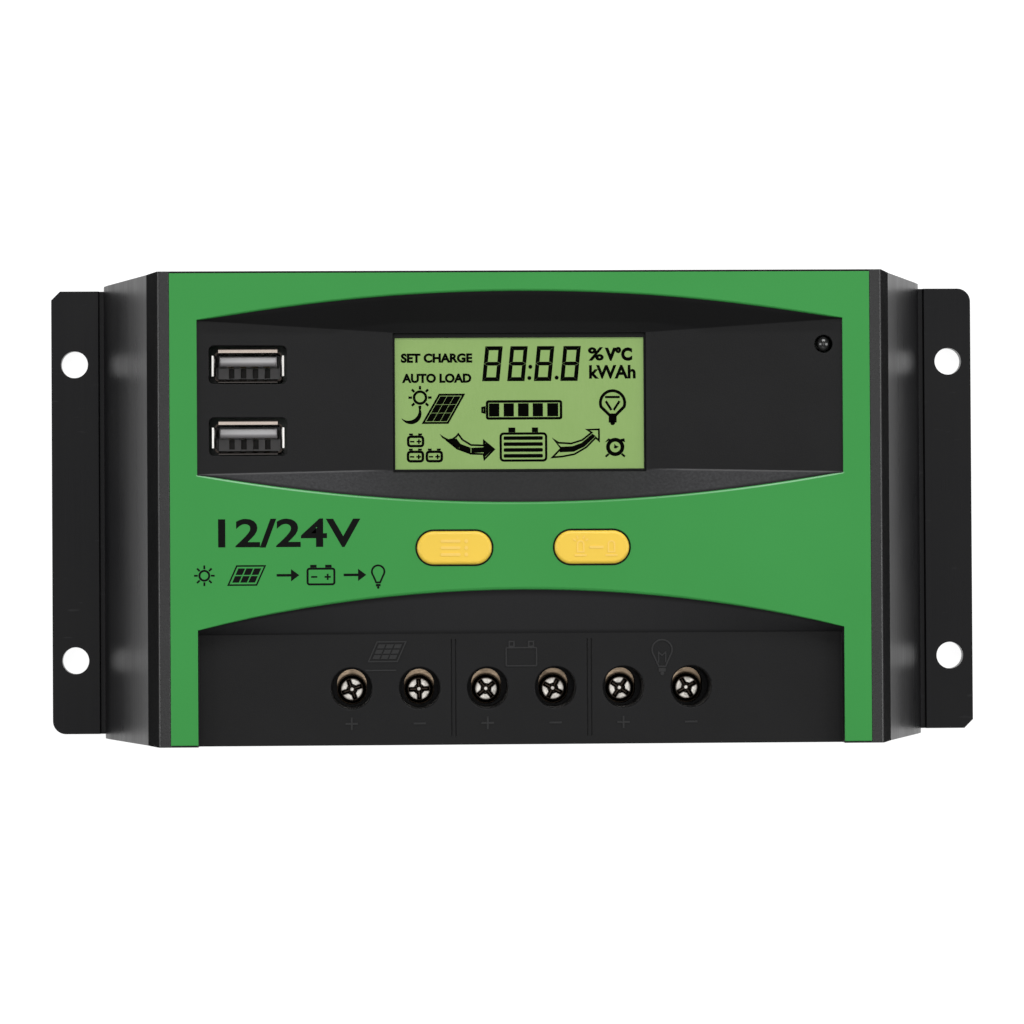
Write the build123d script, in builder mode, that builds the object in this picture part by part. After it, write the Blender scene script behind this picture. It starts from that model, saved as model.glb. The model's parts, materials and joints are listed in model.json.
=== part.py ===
from build123d import *
import os
from math import sqrt

# A wall-mounted solar charge controller, lying on its back. Millimetres, +Z out of the front,
# +Y towards the top edge as mounted, origin at the centre of the back plane.

# ---- driving dimensions ------------------------------------------------------------------------

overall_x = 189.0  # across the two mounting flanges
overall_y = 92.4  # length of the plastic cover
front_z = 46.0  # front face of the cover

# heat-sink base, an aluminium extrusion along Y
flange_y = 90.6  # the flanges stop short of the walls' ends, which are flush with the cover
floor_t = 3.0
flange_t = 2.5
wall_t = 1.9  # measured along X
wall_top = (73.1, 36.4)  # outer edge of the side wall where it meets the cover (x, z)
wall_foot = (82.5, 7.2)
step_foot = (83.6, 3.2)
groove_x = (83.8, 84.9)  # the groove that separates the foot from the flange
groove_z = 1.7
inner_foot_x = 79.0
hole_pitch_x = 179.6
hole_pitch_y = 60.6
hole_r = 2.75
corner_chamfer = 1.8
corner_round = 2.7
back_groove_w = 3.0
back_groove_depth = 0.8
back_groove_x = (10.0, 20.0, 30.0, 40.0, 50.0, 74.0)

# plastic cover
shell_t = 2.0
front_x = 70.5  # half width of the flat front
end_wall_gap = 0.15
cover_gap = 0.1  # joint line between the cover's skirt and the metal wall
label_x = 68.3
label_t = 0.25
label_inset_y = 0.3
lip_x = (69.2, 70.9)
lip_z = (33.0, 39.5)

# upper bay: a lens-shaped recess whose floor slopes in from both ends to the display
bay_x = 62.9
upper_corner_y = (6.5, 36.8)
upper_apex_y = (0.8, 42.6)
upper_floor_y = (7.5, 34.4)  # over the display
upper_end_y = (6.65, 36.65)  # at the two ends
display_x = (-24.4, 25.6)
display_z = 41.0
bay_end_z = 45.5
bay_steps = 24  # straight pieces that each bay's curved rim is made of

# lower bay: the terminal area, open at the bottom edge
lower_corner_y = -23.5
lower_apex_y = -15.4
lower_crease_y = -24.5
lower_floor_z = 42.0

# display stack
window_x = (-24.82, 24.75)
window_y = (7.1, 34.3)
glass_x = (-24.42, 24.35)
glass_y = (7.65, 33.4)
frame_top_z = 40.6
glass_top_z = 40.3
glass_t = 1.1
backlight_z = (34.8, 38.0)

# buttons
button_x = (-13.05, 13.7)
button_y = -7.75
button_slot = (15.2, 7.15)
button_gap = 0.3
button_top_z = 46.6
button_names = ("menu", "load")

# USB sockets
usb_x = -53.05
usb_y = (27.9, 13.9)
usb_lip_z = 43.6
usb_inner = (12.5, 5.12)
usb_sheet = 0.3
usb_lip = (14.05, 6.5)
usb_lip_side = 0.36  # width of the flat rim left by the flare, at the sides, above and below
usb_lip_above = 0.7
usb_lip_below = 0.15
usb_pocket = (15.2, 7.5)
usb_pocket_up = 0.2
usb_names = ("upper", "lower")

# temperature sensor beside the display
sensor_at = (59.3, 31.7)
sensor_z = 44.5

# boards
main_board_z = (9.0, 10.6)
display_board_z = (28.4, 30.0)
cover_boss_x = 64.0
cover_boss_y = 38.0
cover_boss_r = 3.5
standoff_at = (56.0, 26.0)
board_boss_at = ((-58.0, -6.0), (58.0, -6.0), (-36.0, 38.0), (38.0, 38.0))

# terminals: three two-pole blocks with rising cages
pole_pitch = 13.28
pole_x = [pole_pitch * (i - 2.5) for i in range(6)]
driver_hole_y = -35.1
driver_hole_r = 4.0
driver_rim = 0.2  # chamfer round each driver hole
screw_y = -35.65
block_y = (-43.6, -28.2)
block_top_z = 32.0
cavity_x = 5.0
cavity_y = (-40.6, -30.2)
cavity_z = (11.9, 28.4)
clamp_bar_z = (18.6, 20.2)
top_plate_z = (27.0, 28.4)
cage_outer_x = 4.7
cage_inner_x = 3.5
cage_y = (-39.7, -32.1)
cage_z = (12.2, 13.6, 20.5, 22.3)  # bottom plate, then the threaded top plate
thread_r = 2.0
shank_r = 1.95
head_r = 2.75
head_z = (28.45, 30.25)
head_hole_r = 2.95
head_hole_up = 1.1  # a second round of the hole, further up, shows the metal behind the head
recess_turn = (20, 3, 38, 62, 55, 30)  # how far each screw stands turned

# power stage under the main board
mosfet_x = [20.0 * (i - 2.5) for i in range(6)]
mosfet_y = 12.0

cover_boss_at = [(sx * cover_boss_x, sy * cover_boss_y) for sx in (-1, 1) for sy in (-1, 1)]
standoffs_at = [(sx * standoff_at[0], sy * standoff_at[1]) for sx in (-1, 1) for sy in (-1, 1)]

os.makedirs("parts", exist_ok=True)


def save(piece, name):
    """Labels a finished piece and writes it as the node of that name."""
    piece.label = name
    export_step(piece, f"parts/{name}.step")


def box_between(x, y, z, mode=Mode.ADD):
    """A box from one corner to the other, given as three (low, high) pairs."""
    centre = ((x[0] + x[1]) / 2, (y[0] + y[1]) / 2, (z[0] + z[1]) / 2)
    with Locations(centre):
        Box(x[1] - x[0], y[1] - y[0], z[1] - z[0], mode=mode)


def post(x, y, z, r, mode=Mode.ADD):
    """A cylinder along Z at (x, y), between the two heights in z."""
    with Locations((x, y, (z[0] + z[1]) / 2)):
        Cylinder(r, z[1] - z[0], mode=mode)


def arc_y(x, apex, corner):
    """Height of the circular arc through (0, apex) and (+-bay_x, corner)."""
    rise = apex - corner
    r = (bay_x**2 + rise**2) / (2 * abs(rise))
    drop = r - sqrt(r**2 - x**2)
    return apex - drop if rise > 0 else apex + drop


def floor_share(x):
    """0 at an end of the upper bay, 1 over the display."""
    if x < display_x[0]:
        return (x + bay_x) / (display_x[0] + bay_x)
    if x > display_x[1]:
        return (bay_x - x) / (bay_x - display_x[1])
    return 1.0


def upper_section(x, grow):
    """The upper bay's outline in Y and Z at one x, let out by grow into the plastic."""
    share = floor_share(max(-bay_x, min(bay_x, x)))
    z = bay_end_z + (display_z - bay_end_z) * share - grow
    top = upper_end_y[1] + (upper_floor_y[1] - upper_end_y[1]) * share + grow
    low = upper_end_y[0] + (upper_floor_y[0] - upper_end_y[0]) * share - grow
    rim_top = arc_y(x, upper_apex_y[1], upper_corner_y[1]) + grow
    rim_low = arc_y(x, upper_apex_y[0], upper_corner_y[0]) - grow
    walls_up = [(rim_top, front_z), (rim_top, front_z + 2), (rim_low, front_z + 2), (rim_low, front_z)]
    return [(low, z), (top, z)] + walls_up


def lower_section(x, grow):
    """The lower bay's outline in Y and Z at one x, let out by grow into the plastic."""
    z = lower_floor_z - grow
    rim = arc_y(x, lower_apex_y, lower_corner_y) + grow
    end = -overall_y / 2 - 2
    return [(end, z), (lower_crease_y + grow, z), (rim, front_z), (rim, front_z + 2), (end, front_z + 2)]


def outlines(section, places, grow):
    """A bay's sections at the given x, ready to loft."""
    faces = []
    for x in places:
        with BuildSketch(Plane.YZ.offset(x)) as outline:
            with BuildLine():
                Polyline(*section(x, grow), close=True)
            make_face()
        faces.append(outline.sketch.face())
    return faces


def stations(end, breaks):
    """Evenly spaced x from -end to end, with the breaks in the floor added."""
    even = [end * (2 * i / bay_steps - 1) for i in range(bay_steps + 1)]
    clear = [x for x in even if all(abs(x - b) > 1.5 for b in breaks)]
    return sorted(clear + list(breaks))


def upper_bay(grow):
    """The upper bay as a solid: a sloped stretch, the flat over the display, a sloped stretch."""
    with BuildPart() as bay:
        loft(outlines(upper_section, stations(bay_x + grow, display_x), grow), ruled=True)
    return bay.part


def lower_bay(grow):
    """The lower bay as a solid, running out past the bottom edge."""
    with BuildPart() as bay:
        loft(outlines(lower_section, stations(bay_x + grow, ()), grow), ruled=True)
    return bay.part


upper_space = upper_bay(0.0)
lower_space = lower_bay(0.0)

# ---- heat-sink base ----------------------------------------------------------------------------

half_profile = [
    (0, 0),
    (overall_x / 2, 0),
    (overall_x / 2, flange_t),
    (groove_x[1], flange_t),
    (groove_x[1] - 0.2, groove_z),
    (groove_x[0], groove_z),
    step_foot,
    wall_foot,
    wall_top,
    (wall_top[0] - wall_t, wall_top[1]),
    (wall_foot[0] - wall_t, wall_foot[1]),
    (inner_foot_x, floor_t),
    (0, floor_t),
]

with BuildPart() as base:
    with BuildSketch(Plane.XZ.offset(-overall_y / 2)):
        with BuildLine():
            Polyline(*half_profile, close=True)
        make_face()
        mirror(about=Plane.YZ)
    extrude(amount=overall_y)
    for side in (-1, 1):
        for end in (-1, 1):
            across = sorted((side * groove_x[0], side * overall_x))
            along = sorted((end * flange_y / 2, end * overall_y))
            box_between(across, along, (-1.0, flange_t + 1), mode=Mode.SUBTRACT)
    corners = base.edges().filter_by(Axis.Z)
    corners = corners.filter_by(lambda e: abs(e.center().X) > overall_x / 2 - 0.1)
    top_left = corners.filter_by(lambda e: e.center().X < 0 and e.center().Y > 0)
    low_right = corners.filter_by(lambda e: e.center().X > 0 and e.center().Y < 0)
    rounded = corners.filter_by(lambda e: e.center().X * e.center().Y > 0)
    chamfer(top_left + low_right, corner_chamfer)
    fillet(rounded, corner_round)
    # wall-mounting holes in the flanges
    with Locations((0, 0, flange_t / 2)):
        with GridLocations(hole_pitch_x, hole_pitch_y, 2, 2):
            Cylinder(hole_r, flange_t * 3, mode=Mode.SUBTRACT)
    # shallow grooves along the back
    for x in back_groove_x:
        for side in (-1, 1):
            span = (side * x - back_groove_w / 2, side * x + back_groove_w / 2)
            box_between(span, (-overall_y, overall_y), (-1.0, back_groove_depth), mode=Mode.SUBTRACT)
    # countersunk holes for the cover screws
    with Locations((0, 0, 0)):
        with GridLocations(2 * cover_boss_x, 2 * cover_boss_y, 2, 2):
            Cylinder(1.8, floor_t * 3, mode=Mode.SUBTRACT)
            Cone(3.3, 1.8, 1.6, align=(Align.CENTER, Align.CENTER, Align.MIN), mode=Mode.SUBTRACT)
    # blind threads for the board standoffs and the transistor screws
    for x, y in standoffs_at:
        post(x, y, (1.0, floor_t + 1), 1.55, mode=Mode.SUBTRACT)
    for x in mosfet_x:
        post(x, mosfet_y + 6.0, (1.0, floor_t + 1), 1.55, mode=Mode.SUBTRACT)
save(base.part, "heatsink_base")

# ---- front cover -------------------------------------------------------------------------------

skirt_z = wall_top[1] + cover_gap
with BuildPart() as cavity:
    inner_low = wall_top[0] - shell_t
    inner_high = front_x - shell_t + (wall_top[0] - front_x) * shell_t / (front_z - wall_top[1])
    with BuildSketch(Plane.XZ.offset(-(overall_y / 2 - shell_t))):
        with BuildLine():
            Polyline(
                (-inner_low, skirt_z - 1),
                (inner_low, skirt_z - 1),
                (inner_low, skirt_z),
                (inner_high, front_z - shell_t),
                (-inner_high, front_z - shell_t),
                (-inner_low, skirt_z),
                close=True,
            )
        make_face()
    extrude(amount=overall_y - 2 * shell_t)
    add(upper_bay(shell_t), mode=Mode.SUBTRACT)
    add(lower_bay(shell_t), mode=Mode.SUBTRACT)

with BuildPart() as cover:
    # cap with sloping skirts
    with BuildSketch(Plane.XZ.offset(-overall_y / 2)):
        with BuildLine():
            Polyline(
                (-wall_top[0], skirt_z),
                (wall_top[0], skirt_z),
                (front_x, front_z),
                (-front_x, front_z),
                close=True,
            )
        make_face()
    extrude(amount=overall_y)
    fillet(cover.faces().sort_by(Axis.Z)[-1].edges().filter_by(Axis.Y), 0.5)
    add(cavity.part, mode=Mode.SUBTRACT)
    # end walls that close the open ends of the extrusion
    top_half = wall_top[0] - wall_t - end_wall_gap
    foot_half = wall_foot[0] - wall_t - end_wall_gap
    for end in (-overall_y / 2, overall_y / 2 - shell_t):
        with BuildSketch(Plane.XZ.offset(-end - shell_t)):
            with BuildLine():
                Polyline(
                    (-top_half, skirt_z),
                    (-foot_half, wall_foot[1]),
                    (-inner_foot_x + end_wall_gap, floor_t + end_wall_gap),
                    (inner_foot_x - end_wall_gap, floor_t + end_wall_gap),
                    (foot_half, wall_foot[1]),
                    (top_half, skirt_z),
                    (top_half, skirt_z + 1),
                    (-top_half, skirt_z + 1),
                    close=True,
                )
            make_face()
        extrude(amount=shell_t)
    # lips that locate the cover inside the metal walls
    for side in (-1, 1):
        lip = sorted((side * lip_x[0], side * lip_x[1]))
        box_between(lip, (-43.0, 43.0), lip_z)
    # screw bosses, for the cover screws and for the display board
    for x, y in cover_boss_at:
        post(x, y, (floor_t + 0.2, front_z - 1.0), cover_boss_r)
    for x, y in board_boss_at:
        post(x, y, (display_board_z[1] + 0.05, front_z - 1.0), 2.6)
    # tubes that lead a screwdriver down to the terminal screws
    for x in pole_x:
        post(x, driver_hole_y, (block_top_z + 0.6, lower_floor_z - 1), driver_hole_r + 1.3)
    # the two bays, the label's seat and every opening
    add(upper_space, mode=Mode.SUBTRACT)
    add(lower_space, mode=Mode.SUBTRACT)
    seat_y = overall_y / 2 - label_inset_y
    box_between((-label_x, label_x), (-seat_y, seat_y), (front_z - label_t, front_z + 1), Mode.SUBTRACT)
    for x in pole_x:
        post(x, driver_hole_y, (block_top_z, front_z), driver_hole_r, mode=Mode.SUBTRACT)
    rims = cover.edges().filter_by(GeomType.CIRCLE)
    rims = rims.filter_by(lambda e: abs(e.radius - driver_hole_r) < 0.01)
    chamfer(rims.filter_by(lambda e: abs(e.center().Z - lower_floor_z) < 0.01), driver_rim)
    box_between(window_x, window_y, (34.0, front_z), mode=Mode.SUBTRACT)
    for x in button_x:
        with BuildSketch(Plane.XY.offset(front_z + 1)):
            with Locations((x, button_y)):
                SlotOverall(*button_slot)
        extrude(amount=-4.0, mode=Mode.SUBTRACT)
    for y in usb_y:
        with BuildSketch(Plane.XY.offset(front_z + 1)):
            with Locations((usb_x, y + usb_pocket_up)):
                RectangleRounded(*usb_pocket, 1.1)
        extrude(amount=-8.0, mode=Mode.SUBTRACT)
    post(*sensor_at, (40.0, front_z), 1.75, mode=Mode.SUBTRACT)
    # wire entries at the bottom end, cooling slots at the top end
    for x in pole_x:
        with BuildSketch(Plane.XZ.offset(overall_y / 2 - shell_t - 1)):
            with Locations((x, 16.1)):
                RectangleRounded(10.2, 9.6, 1.2)
        extrude(amount=shell_t + 2, mode=Mode.SUBTRACT)
    for i in range(17):
        slot_x = 7.0 * (i - 8)
        with BuildSketch(Plane.XZ.offset(-overall_y / 2 - 1)):
            with Locations((slot_x, 21.0)):
                SlotOverall(17.0, 2.2, rotation=90)
        extrude(amount=shell_t + 2, mode=Mode.SUBTRACT)
    # pilot holes in the bosses
    for x, y in cover_boss_at:
        post(x, y, (floor_t - 1, 18.0), 1.5, mode=Mode.SUBTRACT)
    for x, y in board_boss_at:
        post(x, y, (display_board_z[1] - 1, 37.5), 1.05, mode=Mode.SUBTRACT)
    # engraved double lines between the terminal pairs
    for x in (-pole_pitch, pole_pitch):
        for offset_x in (-0.4, 0.4):
            span = (x + offset_x - 0.12, x + offset_x + 0.12)
            box_between(span, (-44.6, -25.6), (lower_floor_z - 0.2, lower_floor_z + 1), mode=Mode.SUBTRACT)
save(cover.part, "front_cover")

# ---- front label -------------------------------------------------------------------------------

with BuildPart() as label:
    skin_x = label_x - 0.1
    skin_y = overall_y / 2 - label_inset_y - 0.05
    box_between((-skin_x, skin_x), (-skin_y, skin_y), (front_z - label_t, front_z))
    add(upper_space, mode=Mode.SUBTRACT)
    add(lower_space, mode=Mode.SUBTRACT)
    for x in button_x:
        with BuildSketch(Plane.XY.offset(front_z + 1)):
            with Locations((x, button_y)):
                SlotOverall(*button_slot)
        extrude(amount=-4.0, mode=Mode.SUBTRACT)
save(label.part, "front_label")

# ---- display -----------------------------------------------------------------------------------

with BuildPart() as lcd_frame:
    outer_x = (window_x[0] + 0.1, window_x[1] - 0.1)
    outer_y = (window_y[0] + 0.1, window_y[1] - 0.1)
    box_between(outer_x, outer_y, (backlight_z[0], frame_top_z))
    box_between(
        (glass_x[0] - 0.05, glass_x[1] + 0.05),
        (glass_y[0] - 0.05, glass_y[1] + 0.05),
        (33.0, front_z),
        mode=Mode.SUBTRACT,
    )
save(lcd_frame.part, "lcd_frame")

with BuildPart() as lcd_front_glass:
    box_between(glass_x, glass_y, (glass_top_z - glass_t, glass_top_z))
save(lcd_front_glass.part, "lcd_front_glass")

with BuildPart() as lcd_rear_glass:
    box_between(glass_x, glass_y, (glass_top_z - 2 * glass_t, glass_top_z - glass_t - 0.01))
save(lcd_rear_glass.part, "lcd_rear_glass")

with BuildPart() as lcd_backlight:
    box_between(glass_x, (glass_y[0] + 1.6, glass_y[1] - 0.2), backlight_z)
    fillet(lcd_backlight.edges().filter_by(Axis.Z), 0.6)
save(lcd_backlight.part, "lcd_backlight")

with BuildPart() as lcd_pins:
    pin_y = glass_y[0] + 0.7
    for i in range(20):
        pin_x = glass_x[0] + 3.0 + 2.3 * i
        box_between((pin_x - 0.25, pin_x + 0.25), (pin_y - 0.15, pin_y + 0.15), (display_board_z[1], 38.0))
save(lcd_pins.part, "lcd_pins")

# ---- push buttons and their switches -----------------------------------------------------------

cap_size = (button_slot[0] - 2 * button_gap, button_slot[1] - 2 * button_gap)
flange_z = (front_z - shell_t - 1.0, front_z - shell_t - 0.05)
for name, x in zip(button_names, button_x):
    with BuildPart() as button:
        with BuildSketch(Plane.XY.offset(flange_z[1])):
            with Locations((x, button_y)):
                SlotOverall(*cap_size)
        extrude(amount=button_top_z - flange_z[1])
        fillet(button.faces().sort_by(Axis.Z)[-1].edges(), 0.7)
        with BuildSketch(Plane.XY.offset(flange_z[0])):
            with Locations((x, button_y)):
                SlotOverall(button_slot[0] + 1.6, button_slot[1] + 1.6)
        extrude(amount=flange_z[1] - flange_z[0])
        post(x, button_y, (40.65, flange_z[0]), 2.2)
    save(button.part, f"button_{name}")

    with BuildPart() as plunger:
        post(x, button_y, (31.8, 40.6), 1.7)
        chamfer(plunger.faces().sort_by(Axis.Z)[-1].edges(), 0.2)
    save(plunger.part, f"switch_plunger_{name}")

with BuildPart() as switch_bodies:
    for x in button_x:
        box_between((x - 3, x + 3), (button_y - 3, button_y + 3), (display_board_z[1], 33.5))
        post(x, button_y, (31.0, 34.0), 1.8, mode=Mode.SUBTRACT)
save(switch_bodies.part, "switch_bodies")

# ---- USB sockets -------------------------------------------------------------------------------

usb_outer = (usb_inner[0] + 2 * usb_sheet, usb_inner[1] + 2 * usb_sheet)
lip_opening = (usb_lip[0] - 2 * usb_lip_side, usb_lip[1] - usb_lip_above - usb_lip_below)
lip_rise = 0.9
for name, y in zip(usb_names, usb_y):
    with BuildPart() as shell:
        with BuildSketch(Plane.XY.offset(display_board_z[1])):
            with Locations((usb_x, y)):
                RectangleRounded(*usb_outer, 0.7)
                RectangleRounded(*usb_inner, 0.45, mode=Mode.SUBTRACT)
        extrude(amount=usb_lip_z - lip_rise - display_board_z[1])
        # flared lips, one on each side, cut away at the corners
        with BuildSketch(Plane.XY.offset(usb_lip_z - lip_rise)):
            with Locations((usb_x, y)):
                RectangleRounded(*usb_outer, 0.7)
        with BuildSketch(Plane.XY.offset(usb_lip_z)):
            with Locations((usb_x, y)):
                RectangleRounded(*usb_lip, 0.7)
        loft()
        with BuildSketch(Plane.XY.offset(usb_lip_z - lip_rise)):
            with Locations((usb_x, y)):
                RectangleRounded(*usb_inner, 0.45)
        with BuildSketch(Plane.XY.offset(usb_lip_z)):
            with Locations((usb_x, y)):
                with Locations((0, (usb_lip_below - usb_lip_above) / 2)):
                    RectangleRounded(*lip_opening, 0.45)
        loft(mode=Mode.SUBTRACT)
        with Locations((usb_x, y, usb_lip_z - 1.5)):
            with GridLocations(13.2, 5.7, 2, 2):
                Box(1.7, 1.7, 3.2, mode=Mode.SUBTRACT)
        # contact springs are pressed in from the two long sides and the two short ones
        spring_z = (34.0, 40.0)
        for dx in (-3.4, 3.4):
            gap = (usb_x + dx - 1.0, usb_x + dx + 1.0)
            slit = (usb_x + dx - 0.6, usb_x + dx + 0.6)
            box_between(gap, (y - 4, y + 4), (spring_z[1] - 0.4, spring_z[1]), mode=Mode.SUBTRACT)
            box_between((gap[0], slit[0]), (y - 4, y + 4), spring_z, mode=Mode.SUBTRACT)
            box_between((slit[1], gap[1]), (y - 4, y + 4), spring_z, mode=Mode.SUBTRACT)
    save(shell.part, f"usb_shell_{name}")

    tongue_top = y + usb_inner[1] / 2 - 0.75
    with BuildPart() as tongue:
        insert = (usb_inner[0] - 0.2, usb_inner[1] - 0.2)
        with BuildSketch(Plane.XY.offset(display_board_z[1])):
            with Locations((usb_x, y)):
                RectangleRounded(*insert, 0.4)
        extrude(amount=3.2)
        box_between((usb_x - 5.6, usb_x + 5.6), (tongue_top - 1.84, tongue_top), (33.0, usb_lip_z - 1.1))
        fillet(tongue.faces().sort_by(Axis.Z)[-1].edges(), 0.4)
        for i in range(4):
            slot_x = usb_x + 2.35 * (i - 1.5)
            well_y = (tongue_top - 3.8, tongue_top - 1.84)
            box_between((slot_x - 0.55, slot_x + 0.55), well_y, (30.6, 34.0), mode=Mode.SUBTRACT)
            slot_y = (tongue_top - 1.84 - 0.01, tongue_top - 1.84 + 0.35)
            box_between((slot_x - 0.65, slot_x + 0.65), slot_y, (33.2, usb_lip_z - 1.6), mode=Mode.SUBTRACT)
    save(tongue.part, f"usb_tongue_{name}")

with BuildPart() as usb_contacts:
    for y in usb_y:
        contact_y = y + usb_inner[1] / 2 - 0.75 - 1.84
        for i in range(4):
            slot_x = usb_x + 2.35 * (i - 1.5)
            strip_y = (contact_y + 0.05, contact_y + 0.34)
            box_between((slot_x - 0.5, slot_x + 0.5), strip_y, (33.25, usb_lip_z - 1.8))
save(usb_contacts.part, "usb_contacts")

# ---- temperature sensor ------------------------------------------------------------------------

with BuildPart() as sensor_bead:
    with BuildSketch(Plane.YZ.offset(sensor_at[0])):
        with Locations((sensor_at[1], sensor_z)):
            Ellipse(1.5, 1.25)
            Rectangle(4, 4, align=(Align.CENTER, Align.MAX), mode=Mode.SUBTRACT)
    revolve(axis=Axis((sensor_at[0], sensor_at[1], sensor_z), (0, 1, 0)), revolution_arc=360)
save(sensor_bead.part, "temperature_sensor_bead")

with BuildPart() as sensor_leads:
    for dy in (-0.7, 0.7):
        post(sensor_at[0], sensor_at[1] + dy, (display_board_z[1], sensor_z - 1.2), 0.22)
save(sensor_leads.part, "temperature_sensor_leads")

# ---- circuit boards ----------------------------------------------------------------------------

with BuildPart() as display_board:
    box_between((-62.0, 62.0), (-13.0, 42.0), display_board_z)
    for side in (-1, 1):
        post(side * cover_boss_x, cover_boss_y, (20.0, 40.0), 4.2, mode=Mode.SUBTRACT)
    for x, y in board_boss_at:
        post(x, y, (20.0, 40.0), 1.3, mode=Mode.SUBTRACT)
save(display_board.part, "display_board")

with BuildPart() as display_board_screws:
    for x, y in board_boss_at:
        post(x, y, (display_board_z[0] - 1.4, display_board_z[0]), 2.3)
        post(x, y, (display_board_z[0], 36.5), 1.0)
save(display_board_screws.part, "display_board_screws")

with BuildPart() as main_board:
    box_between((-72.0, 72.0), (-43.0, 43.0), main_board_z)
    for x, y in cover_boss_at:
        post(x, y, (5.0, 15.0), 4.2, mode=Mode.SUBTRACT)
    for x, y in standoffs_at:
        post(x, y, (5.0, 15.0), 1.7, mode=Mode.SUBTRACT)
    for x in pole_x:
        box_between((x - 2.4, x + 2.4), (-31.9, -30.3), (5.0, 15.0), mode=Mode.SUBTRACT)
save(main_board.part, "main_board")

with BuildPart() as standoffs:
    for x, y in standoffs_at:
        with BuildSketch(Plane.XY.offset(floor_t)):
            with Locations((x, y)):
                RegularPolygon(3.1, 6)
        extrude(amount=main_board_z[0] - floor_t)
        post(x, y, (1.2, floor_t), 1.5)
        post(x, y, (5.0, 12.0), 1.55, mode=Mode.SUBTRACT)
save(standoffs.part, "board_standoffs")

with BuildPart() as board_screws:
    for x, y in standoffs_at:
        post(x, y, (main_board_z[1], main_board_z[1] + 2.0), 2.8)
        post(x, y, (5.4, main_board_z[1]), 1.5)
save(board_screws.part, "main_board_screws")

link_x = [2.54 * (i - 4.5) for i in range(10)]
link_y = 0.0
with BuildPart() as link_headers:
    box_between((-13.2, 13.2), (link_y - 1.27, link_y + 1.27), (main_board_z[1], 13.1))
    box_between((-13.2, 13.2), (link_y - 1.27, link_y + 1.27), (19.9, display_board_z[0]))
    for x in link_x:
        box_between((x - 0.35, x + 0.35), (link_y - 0.35, link_y + 0.35), (11.0, 27.0), mode=Mode.SUBTRACT)
save(link_headers.part, "board_link_headers")

with BuildPart() as link_pins:
    for x in link_x:
        box_between((x - 0.32, x + 0.32), (link_y - 0.32, link_y + 0.32), (11.1, 26.5))
save(link_pins.part, "board_link_pins")

# ---- power terminals ---------------------------------------------------------------------------

for block in range(3):
    poles = pole_x[2 * block : 2 * block + 2]
    block_x = sum(poles) / 2
    with BuildPart() as housing:
        box_between((block_x - 13.15, block_x + 13.15), block_y, (main_board_z[1] + 0.05, block_top_z))
        fillet(housing.faces().sort_by(Axis.Z)[-1].edges().filter_by(Axis.X), 0.8)
        for x in poles:
            box_between((x - cavity_x, x + cavity_x), cavity_y, cavity_z, mode=Mode.SUBTRACT)
            # wire window, screwdriver hole and the slot for the terminal's leg
            box_between((x - 3.8, x + 3.8), (block_y[0] - 1, cavity_y[0] + 1), (13.2, 18.5), Mode.SUBTRACT)
            for up in (0, head_hole_up):
                post(x, screw_y + up, (cavity_z[1] - 1, block_top_z + 1), head_hole_r, mode=Mode.SUBTRACT)
            box_between((x - 2.4, x + 2.4), (-31.9, -30.3), (8.0, cavity_z[0] + 1), mode=Mode.SUBTRACT)
    save(housing.part, f"terminal_block_{block + 1}")

with BuildPart() as bars:
    for x in pole_x:
        box_between((x - 3.2, x + 3.2), (-40.2, -30.5), clamp_bar_z)
        box_between((x - 4.4, x + 4.4), (-40.2, -30.5), top_plate_z)
        box_between((x - 3.2, x + 3.2), (-31.7, -30.5), (clamp_bar_z[0], top_plate_z[1]))
        box_between((x - 2.2, x + 2.2), (-31.7, -30.5), (7.6, clamp_bar_z[0]))
        post(x, screw_y, (26.0, 29.0), 2.25, mode=Mode.SUBTRACT)
save(bars.part, "terminal_bars")

for i, x in enumerate(pole_x):
    with BuildPart() as screw:
        post(x, screw_y, head_z, head_r)
        fillet(screw.faces().sort_by(Axis.Z)[-1].edges(), 0.65)
        post(x, screw_y, (clamp_bar_z[1] + 0.05, head_z[0]), shank_r)
        chamfer(screw.faces().sort_by(Axis.Z)[0].edges(), 0.4)
        # cross recess
        with BuildSketch(Plane.XY.offset(head_z[1])):
            with Locations(Location((x, screw_y), recess_turn[i])):
                Rectangle(4.1, 0.9)
                Rectangle(0.9, 4.1)
        extrude(amount=-1.1, taper=18, mode=Mode.SUBTRACT)
        with Locations((x, screw_y, head_z[1])):
            Cone(0.4, 1.1, 1.4, align=(Align.CENTER, Align.CENTER, Align.MAX), mode=Mode.SUBTRACT)
    save(screw.part, f"terminal_screw_{i + 1}")

    with BuildPart() as cage:
        box_between((x - cage_outer_x, x + cage_outer_x), cage_y, (cage_z[0], cage_z[3]))
        inside = (x - cage_inner_x, x + cage_inner_x)
        box_between(inside, (cage_y[0] - 1, cage_y[1] + 1), (cage_z[1], cage_z[2]), mode=Mode.SUBTRACT)
        long_edges = cage.edges().filter_by(Axis.Y)
        fillet(long_edges.filter_by(lambda e: abs(e.center().X - x) > cage_inner_x + 0.5), 0.7)
        post(x, screw_y, (cage_z[2] - 1, cage_z[3] + 1), thread_r, mode=Mode.SUBTRACT)
        # grip grooves across the bottom plate
        for k in range(4):
            rib_y = screw_y - 2.4 + 1.6 * k
            rib = (rib_y - 0.25, rib_y + 0.25)
            box_between((x - 3.0, x + 3.0), rib, (cage_z[1] - 0.2, cage_z[1] + 0.5), mode=Mode.SUBTRACT)
    save(cage.part, f"wire_cage_{i + 1}")

# ---- power stage -------------------------------------------------------------------------------

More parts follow.
